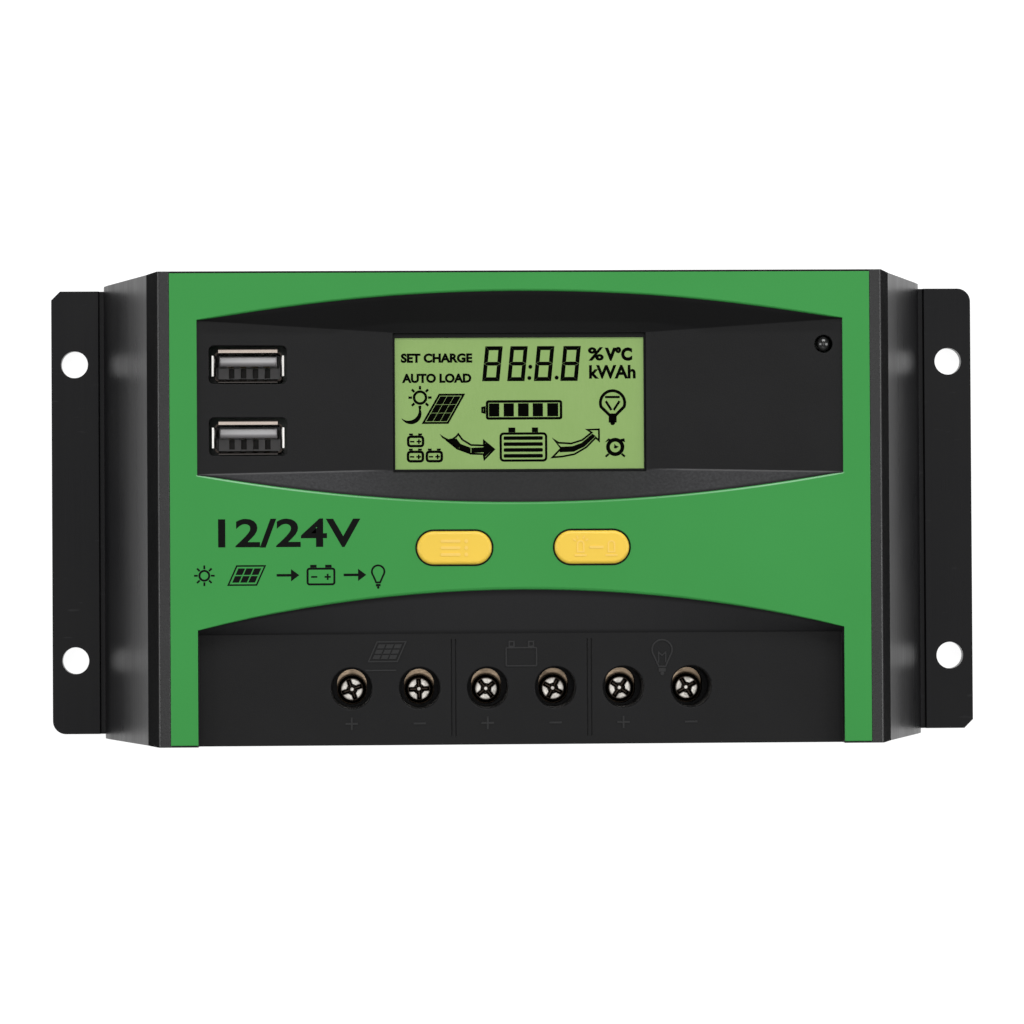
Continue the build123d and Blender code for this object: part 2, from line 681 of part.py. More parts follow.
pad_t = 0.4
tab_z = (floor_t + pad_t, floor_t + pad_t + 1.3)
with BuildPart() as thermal_pad:
    pad_x = (mosfet_x[0] - 8, mosfet_x[-1] + 8)
    box_between(pad_x, (mosfet_y - 9.0, mosfet_y + 10.0), (floor_t, floor_t + pad_t))
    for x in mosfet_x:
        post(x, mosfet_y + 6.0, (2.0, 5.0), 1.7, mode=Mode.SUBTRACT)
save(thermal_pad.part, "thermal_pad")

with BuildPart() as mosfet_tabs:
    for x in mosfet_x:
        box_between((x - 5.0, x + 5.0), (mosfet_y - 6.5, mosfet_y + 9.0), tab_z)
        post(x, mosfet_y + 6.0, (2.0, 6.0), 1.9, mode=Mode.SUBTRACT)
save(mosfet_tabs.part, "mosfet_tabs")

with BuildPart() as mosfet_bodies:
    for x in mosfet_x:
        box_between((x - 5.0, x + 5.0), (mosfet_y - 6.5, mosfet_y + 2.4), (tab_z[1], tab_z[1] + 3.1))
save(mosfet_bodies.part, "mosfet_bodies")

with BuildPart() as mosfet_leads:
    for x in mosfet_x:
        for k in (-1, 0, 1):
            lead_x = (x + 2.54 * k - 0.4, x + 2.54 * k + 0.4)
            box_between(lead_x, (mosfet_y - 9.5, mosfet_y - 6.5), (5.3, 5.8))
            box_between(lead_x, (mosfet_y - 9.5, mosfet_y - 9.0), (5.3, main_board_z[0]))
save(mosfet_leads.part, "mosfet_leads")

with BuildPart() as mosfet_screws:
    for x in mosfet_x:
        post(x, mosfet_y + 6.0, (tab_z[1], tab_z[1] + 2.0), 2.6)
        post(x, mosfet_y + 6.0, (1.2, tab_z[1]), 1.5)
save(mosfet_screws.part, "mosfet_screws")

# x, y, radius and height of each electrolytic capacitor
capacitors = [(x, 28.0, 5.0, 16.0) for x in (-30.0, -15.0)] + [(x, 28.0, 4.0, 12.0) for x in (20.0, 32.0)]
with BuildPart() as capacitor_cans:
    for x, y, r, tall in capacitors:
        post(x, y, (main_board_z[1] + 1.2, main_board_z[1] + tall), r)
    fillet(capacitor_cans.edges().filter_by(GeomType.CIRCLE).group_by(Axis.Z)[-1], 0.6)
save(capacitor_cans.part, "capacitor_cans")

with BuildPart() as capacitor_seals:
    for x, y, r, tall in capacitors:
        post(x, y, (main_board_z[1], main_board_z[1] + 1.2), r - 0.4)
save(capacitor_seals.part, "capacitor_seals")

with BuildPart() as inductor:
    with BuildSketch(Plane.XY.offset(main_board_z[1])):
        with Locations((-52.0, 4.0)):
            RectangleRounded(12.5, 12.5, 2.0)
    extrude(amount=7.5)
    chamfer(inductor.faces().sort_by(Axis.Z)[-1].edges(), 0.5)
save(inductor.part, "power_inductor")

with BuildPart() as shunt:
    # two flat manganin bridges between the battery terminals and the transistors
    for x in (-3.0, 3.0):
        with BuildSketch(Plane.YZ.offset(x - 0.8)):
            with BuildLine():
                Polyline(
                    (-22.0, main_board_z[1]),
                    (-22.0, 16.0),
                    (-9.0, 16.0),
                    (-9.0, main_board_z[1]),
                    (-10.2, main_board_z[1]),
                    (-10.2, 14.8),
                    (-20.8, 14.8),
                    (-20.8, main_board_z[1]),
                    close=True,
                )
            make_face()
        extrude(amount=1.6)
save(shunt.part, "current_shunt")

with BuildPart() as chips:
    controller = (30.0, -12.0, 10.0, 10.0)
    drivers = [(x, y, 5.0, 6.2) for x, y in ((48.0, 6.0), (-40.0, -12.0), (44.0, -12.0))]
    for x, y, wide, tall in [controller] + drivers:
        with BuildSketch(Plane.XY.offset(main_board_z[1])):
            with Locations((x, y)):
                Rectangle(wide, tall)
        extrude(amount=1.5)
save(chips.part, "control_chips")

with BuildPart() as fuses:
    for x in (-58.0, 58.0):
        box_between((x - 2.4, x + 2.4), (-22.0, -3.0), (main_board_z[1] + 5.0, main_board_z[1] + 14.0))
    fillet(fuses.edges().filter_by(Axis.Z), 1.0)
save(fuses.part, "blade_fuse_bodies")

with BuildPart() as fuse_blades:
    for x in (-58.0, 58.0):
        for y in (-19.5, -5.5):
            box_between((x - 0.35, x + 0.35), (y - 2.4, y + 2.4), (main_board_z[1], main_board_z[1] + 5.0))
save(fuse_blades.part, "blade_fuse_blades")

with BuildPart() as cover_screws:
    for x, y in cover_boss_at:
        with Locations((x, y, 0.1)):
            Cone(3.0, 1.45, 1.5, align=(Align.CENTER, Align.CENTER, Align.MIN))
        post(x, y, (1.5, 15.0), 1.45)
        with BuildSketch(Plane.XY.offset(0.1)):
            with Locations((x, y)):
                Rectangle(3.2, 0.7)
                Rectangle(0.7, 3.2)
        extrude(amount=1.0, mode=Mode.SUBTRACT)
save(cover_screws.part, "cover_screws")
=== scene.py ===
import bmesh
import bpy
import json
import math
from mathutils import Euler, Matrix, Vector


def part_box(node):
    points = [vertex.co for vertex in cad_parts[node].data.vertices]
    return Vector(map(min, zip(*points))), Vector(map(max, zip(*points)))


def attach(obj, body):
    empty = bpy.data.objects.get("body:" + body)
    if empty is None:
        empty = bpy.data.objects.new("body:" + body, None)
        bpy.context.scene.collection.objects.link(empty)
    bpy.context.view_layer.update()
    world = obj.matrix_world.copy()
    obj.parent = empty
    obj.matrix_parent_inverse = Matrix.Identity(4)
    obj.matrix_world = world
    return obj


# A solar charge controller on its back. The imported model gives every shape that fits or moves; this script
# adds the printed and raised marks, the display's segments, the finishes, the light and the camera.

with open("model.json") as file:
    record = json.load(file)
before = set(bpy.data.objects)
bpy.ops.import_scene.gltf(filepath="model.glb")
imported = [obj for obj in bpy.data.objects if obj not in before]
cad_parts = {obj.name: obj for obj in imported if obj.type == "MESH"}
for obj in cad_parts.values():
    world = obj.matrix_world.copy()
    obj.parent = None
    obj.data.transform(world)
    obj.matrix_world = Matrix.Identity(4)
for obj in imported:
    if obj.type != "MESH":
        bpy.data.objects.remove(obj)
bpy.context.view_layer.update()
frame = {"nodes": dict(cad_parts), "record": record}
nodes = frame["nodes"]
record = frame["record"]
MM = 0.001

# ---- places and shades for the finishes ----------------------------------------------------------
# Colours have three numbers. A pair is where a mask starts and where it ends, in millimetres: X from the
# middle plane, Y and Z in the row frame, and R from a part's own axis.

NOISE_RANGE = (0.28, 0.72)  # not a place: the values that Blender's noise seldom leaves
METAL_LINE_DEPTH = 0.004
MOULDED_EDGE = 0.22

# the cover: its black, the skirts, the margins beside the label, the bays and their banks, with painted light
# and shade on the skirts and banks
BLACK = (0.0075, 0.0075, 0.0079)
SKIRT_X = (70.35, 70.6)
MARGIN_X = (68.0, 68.2)
FRONT_Z = (44.8, 45.6)
BAY_TOP_Z = (45.2, 45.6)
BAY_SIDE_X = (64.0, 66.0)
BAY_FLOOR_Z = (42.05, 42.4)
UPPER_BANK_Y = (33.8, 34.6)
LOWER_BANK_Y = (-9.0, -8.0)
TERMINAL_BANK_LOW_Y = (-27.0, -26.0)
TERMINAL_BANK_HIGH_Y = (-14.0, -13.0)

# the line along which the upper bay's floor turns down: its inner end and its outer end, and the colour of
# its painted highlight
FLOOR_EDGE_X = (25.6, 62.9)
FLOOR_EDGE_Y = (7.5, 6.65)
PAINTED_EDGE_HIGHLIGHT = (0.1, 0.1, 0.102)

# the label's cut edge, an arc under the upper bay, and the colour of the painted highlight along it
RIM_R = 349.9
RIM_CENTRE_Y = 350.7
RIM_END_X = (62.8, 63.2)
PAINTED_RIM_HIGHLIGHT = (0.27, 0.56, 0.31)

# the base
PALE_RUB = (0.10, 0.10, 0.105)

# the terminal screws: each one's turn in degrees, its recess and the plate round it, with painted shade in
# the recess, towards the head's rim and on the plate round the head
HEAD_TURN = (20, 3, 38, 62, 55, 30)
ARM_HALF_WIDTH = (0.42, 0.66)
HEAD_FIELD_R = (1.8, 2.15)
RECESS_POINT_R = (0.24, 0.38)
UNDER_HEAD_Z = (28.3, 28.4)
RECESS_SHADE = (0.05, 0.038, 0.03)
HEAD_SHADOW_R = (2.95, 3.3)
HEAD_SHADOW = (0.05, 0.036, 0.025)

# the sockets: Y from each one's own axis; a warmer upper lip, darker at its top, and painted shade on the
# lower lip and on the tongue's front
UPPER_LIP_Y = (2.3, 2.5)
UPPER_LIP_TOP_Y = (3.08, 3.16)
LOWER_LIP_Y = (-2.9, -2.7)
TONGUE_SHADE_Y = (0.45, 0.85)
TONGUE_FRONT_Z = (42.2, 42.4)
LIP_WARM = (0.56, 0.48, 0.42)
LIP_TOP = (0.1, 0.08, 0.07)
LOWER_LIP_SHADE = (0.09, 0.08, 0.075)
TONGUE_SHADE = (0.15, 0.145, 0.15)

# wells and gaps: the painted shade at the bottom, and the heights between which it gives way
BUTTON_GAP = ((0.012, 0.007, 0.002), 45.95, 46.3)
SOCKET_MOUTH = ((0.04, 0.033, 0.028), 42.9, 43.4)
SOCKET_WELL = ((0.012, 0.007, 0.004), 32.75, 33.0)

# colours of plated metal and moulded parts
WARM_NICKEL = (0.62, 0.47, 0.33)
SCREW_METAL = (0.88, 0.84, 0.78)
SHELL_METAL = (0.92, 0.9, 0.86)
INSERT_GREY = (0.43, 0.425, 0.43)
BUTTON_YELLOW = (0.87, 0.58, 0.06)


# ---- finishes -----------------------------------------------------------------------------------


class Surface:
    """A procedural material whose textures lie in the row frame, with sizes in millimetres."""

    def __init__(self, name, metallic=0.0, **fixed):
        self.material = bpy.data.materials.new(name)
        self.material.use_nodes = True
        self.tree = self.material.node_tree
        self.shader = self.tree.nodes["Principled BSDF"]
        self.shader.inputs["Metallic"].default_value = metallic
        for socket, value in fixed.items():
            self.shader.inputs[socket.replace("_", " ")].default_value = value
        self.coord = self.tree.nodes.new("ShaderNodeTexCoord").outputs["Object"]
        self.relief = None

    def node(self, kind, **inputs):
        """A node of that kind, with its inputs set or linked by name or number."""
        made = self.tree.nodes.new(kind)
        for key, value in inputs.items():
            socket = made.inputs[int(key[1:])] if key[0] == "n" and key[1:].isdigit() else made.inputs[key]
            if isinstance(value, bpy.types.NodeSocket):
                self.tree.links.new(value, socket)
            else:
                socket.default_value = value
        return made

    def noise(self, size, stretch=(1, 1, 1), detail=2.0, seed=0.0):
        """Cloudy texture, from 0 to 1, with lumps of that size; stretch draws them out along an axis."""
        scale = [1 / (size * MM * s) for s in stretch]
        moved = (seed, seed * 1.7, seed * 0.6)
        place = self.node("ShaderNodeMapping", Vector=self.coord, Location=moved, Scale=scale)
        made = self.node("ShaderNodeTexNoise", Vector=place.outputs[0], Scale=1.0, Detail=detail)
        return self.above(made.outputs[0], *NOISE_RANGE)

    def cells(self, size, stretch=(1, 1, 1)):
        """Distance to the nearest of scattered points, for pebbled and speckled textures."""
        scale = [1 / (size * MM * s) for s in stretch]
        place = self.node("ShaderNodeMapping", Vector=self.coord, Scale=scale)
        return self.node("ShaderNodeTexVoronoi", Vector=place.outputs[0], Scale=1.0).outputs[0]

    def span(self, value, low, high, start=0.0, end=1.0):
        """Maps start..end of a value to low..high."""
        made = self.node("ShaderNodeMapRange", Value=value)
        for key, number in (("From Min", start), ("From Max", end), ("To Min", low), ("To Max", high)):
            made.inputs[key].default_value = number
        return made.outputs[0]

    def above(self, value, start, end):
        """A mask: 0 up to start and 1 from end."""
        return self.span(value, 0.0, 1.0, start, end)

    def below(self, value, start, end):
        """A mask: 1 up to start and 0 from end."""
        return self.span(value, 1.0, 0.0, start, end)

    def math(self, operation, a, b=0.0):
        """One Math node's result; b is unused where the operation takes a single value."""
        made = self.node("ShaderNodeMath", n0=a, n1=b)
        made.operation = operation
        return made.outputs[0]

    def where_all(self, mask, *others):
        """The product of masks."""
        for other in others:
            mask = self.math("MULTIPLY", mask, other)
        return mask

    def mix(self, share, a, b):
        """Colour a where share is 0 and colour b where it is 1."""
        made = self.tree.nodes.new("ShaderNodeMix")
        made.data_type = "RGBA"
        for key, value in ((0, share), (6, a), (7, b)):
            if isinstance(value, bpy.types.NodeSocket):
                self.tree.links.new(value, made.inputs[key])
            else:
                made.inputs[key].default_value = (*value, 1.0) if isinstance(value, tuple) else value
        return made.outputs[2]

    def color(self, value):
        """Links the base colour."""
        self.tree.links.new(value, self.shader.inputs["Base Color"])
        return self

    def rough(self, value):
        """Links the roughness."""
        self.tree.links.new(value, self.shader.inputs["Roughness"])
        return self

    def local(self, x, y, turn=0.0):
        """X and Y in millimetres, seen from an upright axis at x, y in millimetres and turned in degrees."""
        spin = (0.0, 0.0, math.radians(turn))
        own = self.node("ShaderNodeMapping", Vector=self.coord, Location=(x * MM, y * MM, 0.0), Rotation=spin)
        own.vector_type = "TEXTURE"
        own.inputs["Scale"].default_value = (MM, MM, MM)
        split = self.node("ShaderNodeSeparateXYZ", Vector=own.outputs[0])
        return split.outputs[0], split.outputs[1]

    def radius(self, u, v):
        """Distance from the axis that u and v are measured from."""
        square = self.math("ADD", self.math("MULTIPLY", u, u), self.math("MULTIPLY", v, v))
        return self.math("POWER", square, 0.5)

    def across(self):
        """Distance in millimetres from the middle plane, left or right."""
        split = self.node("ShaderNodeSeparateXYZ", Vector=self.coord)
        return self.math("MULTIPLY", self.math("ABSOLUTE", split.outputs[0]), 1 / MM)

    def height(self):
        """Height over the back plane in millimetres."""
        split = self.node("ShaderNodeSeparateXYZ", Vector=self.coord)
        return self.math("MULTIPLY", split.outputs[2], 1 / MM)

    def depth_shaded(self, color, deep, low, high):
        """Painted shade: a colour that darkens from full at the height high to the deep colour at the height
        low.
        """
        return self.mix(self.above(self.height(), low, high), deep, color)

    def bump(self, height, depth):
        """Raises the surface by depth millimetres where height is 1."""
        made = self.node("ShaderNodeBump", Strength=1.0, Distance=depth * MM, Height=height)
        if self.relief:
            self.tree.links.new(self.relief, made.inputs["Normal"])
        self.relief = made.outputs[0]
        self.tree.links.new(self.relief, self.shader.inputs["Normal"])
        return self

    def soft_edges(self, radius):
        """Rounds sharp edges by that many millimetres, for the light they catch."""
        made = self.node("ShaderNodeBevel", Radius=radius * MM)
        made.samples = 4
        self.relief = made.outputs[0]
        self.tree.links.new(self.relief, self.shader.inputs["Normal"])
        return self


def shade(color, factor):
    """The colour made lighter or darker."""
    return tuple(c * factor for c in color)


def plastic(name, color, rough, grain=0.35, depth=0.012, vary=0.12, deep=None, painted_shade_and_tone=None, **fixed):
    """Moulded plastic: spark-eroded grain, slow changes of shade, and a sheen that handling has evened out.

    deep is a darker colour with the two heights between which it takes over: painted shade in wells and gaps.
    The last argument paints shade, and on the socket lips a warmer tone, from place to place.
    """
    s = Surface(name, **fixed)
    patches = s.noise(14, detail=4, seed=3)
    fine = s.noise(grain, detail=3)
    shown = s.mix(patches, shade(color, 1 - vary), shade(color, 1 + vary))
    shown = painted_shade_and_tone(s, shown) if painted_shade_and_tone else shown
    s.color(s.depth_shaded(shown, *deep) if deep else shown)
    handled = s.math("ADD", s.span(patches, -0.05, 0.05), s.span(fine, -0.06, 0.06))
    s.rough(s.math("ADD", handled, rough))
    return s.bump(fine, depth)


def metal(name, color, rough, along=(1, 1, 1), grain=0.5, dull=0.6, stain=20.0, deep=None, painted_shade_and_tone=None):
    """Plated or drawn metal: fine lines along one axis, and tarnish that darkens and roughens in patches.

    along draws the lines out, dull is the tarnish's shade and stain its patches' size. The last two
    arguments are as for plastic: painted shade in wells and gaps, and painted shade and tone from place to
    place.
    """
    s = Surface(name, metallic=1.0)
    lines = s.noise(grain, along, detail=3)
    tarnish = s.noise(stain, detail=5, seed=8)
    shown = s.mix(s.span(tarnish, 0.0, 1.0, 0.35, 1.0), color, shade(color, dull))
    shown = painted_shade_and_tone(s, shown) if painted_shade_and_tone else shown
    s.color(s.depth_shaded(shown, *deep) if deep else shown)
    wear_and_painted_shade = s.math("ADD", s.span(lines, -0.07, 0.07), s.span(tarnish, -0.05, 0.1))
    s.rough(s.math("ADD", wear_and_painted_shade, rough))
    return s.bump(lines, METAL_LINE_DEPTH)


def head_painted_shade(x, y, turn):
    """A screw head on the axis x, y: painted shade in the arms of its turned recess and out to the rim,
    leaving the fields between the arms and the recess point in the metal's own colour.
    """

    def painted_shade_and_tone(s, shown):
        u, v = [s.math("ABSOLUTE", way) for way in s.local(x, y, turn)]
        r = s.radius(u, v)
        off_arms = s.above(s.math("MINIMUM", u, v), *ARM_HALF_WIDTH)
        lit = s.math("MAXIMUM", s.where_all(off_arms, s.below(r, *HEAD_FIELD_R)), s.below(r, *RECESS_POINT_R))
        lit = s.math("MAXIMUM", lit, s.below(s.height(), *UNDER_HEAD_Z))
        return s.mix(lit, RECESS_SHADE, shown)

    return painted_shade_and_tone


def plate_painted_shadow(spots):
    """Painted shadow of the screw heads on the axes in spots, on the plates round them."""

    def painted_shade_and_tone(s, shown):
        for x, y in spots:
            shown = s.mix(s.above(s.radius(*s.local(x, y)), *HEAD_SHADOW_R), HEAD_SHADOW, shown)
        return shown

    return painted_shade_and_tone


def lip_tone_and_painted_shade(x, y):
    """A socket's mouth on the axis x, y: warmer on the upper lip and darker at its top, painted shade on the
    lower lip.
    """

    def painted_shade_and_tone(s, shown):
        up = s.local(x, y)[1]
        shown = s.mix(s.above(up, *UPPER_LIP_Y), shown, LIP_WARM)
        shown = s.mix(s.above(up, *UPPER_LIP_TOP_Y), shown, LIP_TOP)
        return s.mix(s.below(up, *LOWER_LIP_Y), shown, LOWER_LIP_SHADE)

    return painted_shade_and_tone


def tongue_painted_shade(x, y):
    """A socket's tongue on the axis x, y: its front stays pale above and gets painted shade below, where the
    contacts shade it.
    """

    def painted_shade_and_tone(s, shown):
        low = s.below(s.local(x, y)[1], *TONGUE_SHADE_Y)
        front = s.above(s.height(), *TONGUE_FRONT_Z)
        return s.mix(s.where_all(low, front), shown, TONGUE_SHADE)

    return painted_shade_and_tone


def anodised():
    """Black anodised extrusion: die lines along Y, slow changes of shade and a few pale rubs."""
    s = Surface("anodised_black", Specular_IOR_Level=0.16, IOR=1.52).soft_edges(0.2)
    lines = s.noise(0.5, (1, 160, 1), detail=4)
    broad = s.noise(5, (1, 60, 1), detail=2, seed=5)
    patches = s.noise(22, detail=4, seed=2)
    rubs = s.above(s.noise(1.1, (6, 1, 1), detail=6, seed=11), 0.86, 1.0)
    black = s.mix(patches, (0.0075, 0.0075, 0.0085), (0.011, 0.0108, 0.0112))
    s.color(s.mix(s.math("MULTIPLY", rubs, 0.12), black, PALE_RUB))
    lined = s.math("ADD", s.span(lines, 0.27, 0.34), s.span(broad, -0.02, 0.02))
    s.rough(s.math("ADD", lined, s.span(patches, -0.02, 0.04)))
    s.bump(lines, 0.0005)
    return s.bump(broad, 0.0015)


def cover_plastic():
    """The cover's black plastic: a fine grain, coarse, matt and with painted shade on the skirts, smoother
    beside the label.
    """
    s = Surface("cover_black").soft_edges(MOULDED_EDGE)
    patches = s.noise(14, detail=4, seed=3)
    fine = s.noise(0.3, detail=3)
    coarse = s.noise(0.55, detail=4, seed=9)
    x = s.across()
    skirt = s.above(x, *SKIRT_X)
    past_label = s.where_all(s.above(x, *MARGIN_X), s.above(s.height(), *FRONT_Z))
    margin_or_skirt = s.math("MAXIMUM", past_label, skirt)
    tone_and_painted_light = s.mix(patches, shade(BLACK, 0.88), shade(BLACK, 1.12))

    # painted light and shade: darker on the upper bay's top bank, lighter on its lower bank and the terminal
    # bank, and a painted highlight on the edge where the upper bay's floor turns down
    y = s.local(0.0, 0.0)[1]
    bay = s.where_all(s.below(s.height(), *BAY_TOP_Z), s.below(x, *BAY_SIDE_X))
    bank = s.where_all(bay, s.above(s.height(), *BAY_FLOOR_Z))
    upper_bank = s.where_all(s.above(y, *UPPER_BANK_Y), bank)
    past_edge = s.math("SUBTRACT", y, s.span(x, *FLOOR_EDGE_Y, *FLOOR_EDGE_X))
    below_edge = s.where_all(s.below(past_edge, -0.15, 0.0), s.above(y, *LOWER_BANK_Y))
    lower_bank = s.where_all(below_edge, s.span(x, 0.3, 1.0, 10.0, 36.0), bay)
    terminal_bank = s.where_all(s.below(y, *TERMINAL_BANK_HIGH_Y), s.above(y, *TERMINAL_BANK_LOW_Y), bank)
    near_edge = s.below(s.math("ABSOLUTE", past_edge), 0.08, 0.22)
    edge = s.where_all(near_edge, s.span(x, 0.0, 0.75, FLOOR_EDGE_X[0], 32.0), bay)
    pale = s.mix(coarse, shade(BLACK, 3.6), shade(BLACK, 6.0))
    # painted shade on the upper bay's top bank
    tone_and_painted_light = s.mix(upper_bank, tone_and_painted_light, shade(BLACK, 0.6))
    # painted light on the upper bay's lower bank, with a coarse grain, and on the terminal bay's bank
    tone_and_painted_light = s.mix(lower_bank, tone_and_painted_light, pale)
    tone_and_painted_light = s.mix(terminal_bank, tone_and_painted_light, shade(BLACK, 2.7))
    # painted highlight along the edge where the upper bay's floor turns down
    tone_and_painted_light = s.mix(edge, tone_and_painted_light, PAINTED_EDGE_HIGHLIGHT)
    # painted shade: the skirts darker
    s.color(s.mix(skirt, tone_and_painted_light, shade(BLACK, 0.4)))

    # the front's roughness and sheen, then what the margin and the skirt make of them; the sheen differs over
    # the cover, so it is linked, and the exported model doesn't carry it
    handled = s.math("ADD", s.span(patches, -0.05, 0.05), s.span(fine, -0.06, 0.06))
    level = s.math("ADD", s.span(margin_or_skirt, 0.47, 0.3), s.span(skirt, 0.0, 0.5))
    s.rough(s.math("ADD", handled, level))
    shine = s.math("SUBTRACT", s.span(margin_or_skirt, 0.22, 0.6), s.span(skirt, 0.0, 0.58))
    s.tree.links.new(shine, s.shader.inputs["Specular IOR Level"])
    s.bump(s.math("MULTIPLY", coarse, s.math("MAXIMUM", skirt, lower_bank)), 0.03)
    return s.bump(fine, 0.01)


def label_film():
    """Printed green polyester film: an even print under a satin coat with a slight orange peel."""
    s = Surface("label_green", Specular_IOR_Level=0.35, IOR=1.48).soft_edges(MOULDED_EDGE)
    print_grain = s.noise(0.25, detail=2)
    patches = s.noise(35, detail=3, seed=6)
    green = s.mix(patches, (0.033, 0.275, 0.051), (0.038, 0.295, 0.058))
    green = s.mix(s.span(print_grain, 0.0, 0.35), green, (0.03, 0.253, 0.046))

    # a painted highlight along the label's cut edge at the upper bay's lower rim, an arc, stronger out to the
    # sides
    past_rim = s.math("SUBTRACT", s.radius(*s.local(0.0, RIM_CENTRE_Y)), RIM_R)
    x = s.across()
    rim = s.where_all(s.below(past_rim, 0.04, 0.2), s.above(past_rim, -0.2, -0.1))
    rim = s.where_all(rim, s.where_all(s.span(x, 0.25, 0.9, 18.0, 50.0), s.below(x, *RIM_END_X)))
    s.color(s.mix(rim, green, PAINTED_RIM_HIGHLIGHT))
    s.rough(s.math("ADD", s.span(print_grain, 0.36, 0.46), s.span(patches, -0.03, 0.03)))
    return s.bump(s.noise(1.1, detail=2, seed=4), 0.0022)


def display_glass():
    """The display's front: a yellow-green field under satin polariser film."""
    s = Surface("lcd_glass", Coat_Weight=0.35, Coat_Roughness=0.12, IOR=1.5)
    cloud = s.noise(9, detail=3, seed=1)
    fibre = s.noise(0.35, (1, 6, 1), detail=2)
    field = s.mix(cloud, (0.222, 0.37, 0.092), (0.24, 0.388, 0.104))
    s.color(s.mix(s.span(fibre, 0.0, 0.3), field, (0.2, 0.34, 0.082)))
    s.rough(s.span(fibre, 0.3, 0.4))
    return s.bump(fibre, 0.0008)


def circuit_board():
    """Green solder mask over copper, with a faint weave of the glass cloth."""
    s = Surface("circuit_board", Coat_Weight=0.4, Coat_Roughness=0.2)
    weave = s.where_all(s.noise(0.5, (8, 1, 1)), s.noise(0.5, (1, 8, 1), seed=7))
    pour = s.above(s.cells(6.0, (1, 2, 1)), 0.42, 0.46)
    s.color(s.mix(pour, (0.004, 0.024, 0.009), (0.007, 0.042, 0.015)))
    s.rough(s.span(weave, 0.32, 0.5))
    return s.bump(weave, 0.006)


def sleeve():
    """Printed shrink sleeve on a capacitor: glossy, with slow ripples."""
    s = Surface("capacitor_sleeve", Coat_Weight=0.5, Coat_Roughness=0.1)
    ripple = s.noise(2.2, (1, 1, 2), detail=2)
    s.color(s.mix(ripple, (0.012, 0.014, 0.04), (0.02, 0.022, 0.055)))
    s.rough(s.span(ripple, 0.22, 0.34))
    return s.bump(ripple, 0.03)


finishes = {
    "anodised_black": anodised(),
    "cover_black": cover_plastic(),
    "label_green": label_film(),
    "button_yellow": plastic("button_yellow", BUTTON_YELLOW, 0.4, 0.6, 0.003, vary=0.03, deep=BUTTON_GAP),
    "lcd_glass": display_glass(),
    "lcd_frame_black": plastic("lcd_frame_black", (0.004, 0.004, 0.004), 0.6, 0.2, Specular_IOR_Level=0.2),
    "backlight_white": plastic("backlight_white", (0.7, 0.7, 0.66), 0.5, vary=0.03),
    "tinned_pins": metal("tinned_pins", (0.72, 0.71, 0.68), 0.3, stain=3),
    "sensor_black": plastic("sensor_black", (0.008, 0.008, 0.008), 0.16, 0.9, 0.01, Coat_Weight=0.6),
    "circuit_board": circuit_board(),
    "zinc_steel": metal("zinc_steel", (0.62, 0.63, 0.64), 0.34, stain=2.5),
    "brass": metal("brass", (0.7, 0.48, 0.2), 0.3, stain=4),
    "terminal_black": plastic("terminal_black", (0.006, 0.006, 0.0065), 0.5, 0.25, Specular_IOR_Level=0.3),
    "terminal_nickel": metal("terminal_nickel", WARM_NICKEL, 0.32, (6, 1, 1), grain=0.2, stain=3.0),
    "epoxy_black": plastic("epoxy_black", (0.014, 0.014, 0.014), 0.62, grain=0.18),
    "thermal_grey": plastic("thermal_grey", (0.36, 0.38, 0.41), 0.75, grain=0.8, depth=0.03),
    "capacitor_sleeve": sleeve(),
    "rubber_seal": plastic("rubber_seal", (0.012, 0.012, 0.012), 0.7, grain=0.5, depth=0.02),
    "copper_alloy": metal("copper_alloy", (0.62, 0.36, 0.22), 0.34, (1, 10, 1), stain=5),
    "fuse_body": plastic("fuse_body", (0.05, 0.3, 0.08), 0.2, grain=1.5, depth=0.004, Coat_Weight=0.4),
}
mark_finishes = {
    "segment_ink": plastic("segment_ink", (0.002, 0.0022, 0.0016), 0.6, depth=0.0, Specular_IOR_Level=0.0),
    "label_ink": plastic("label_ink", (0.0035, 0.004, 0.0035), 0.55, depth=0.0, Specular_IOR_Level=0.08),
    "button_mark": plastic("button_mark", (0.9, 0.61, 0.12), 0.35, grain=0.6, depth=0.002, vary=0.03),
    "bay_mark": plastic("bay_mark", shade(BLACK, 1.3), 0.36, grain=0.3, depth=0.002, Specular_IOR_Level=0.42),
}


def top_of(name, lift=0.0):
    """The middle of a CAD node's top, raised by lift millimetres."""
    low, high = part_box(name)
    return (low.x + high.x) / 2, (low.y + high.y) / 2, high.z + lift * MM


def axis_of(name):
    """X and Y of the middle of a CAD node, in millimetres."""
    x, y, _ = top_of(name)
    return x / MM, y / MM


SCREWS = [f"terminal_screw_{i + 1}" for i in range(6)]

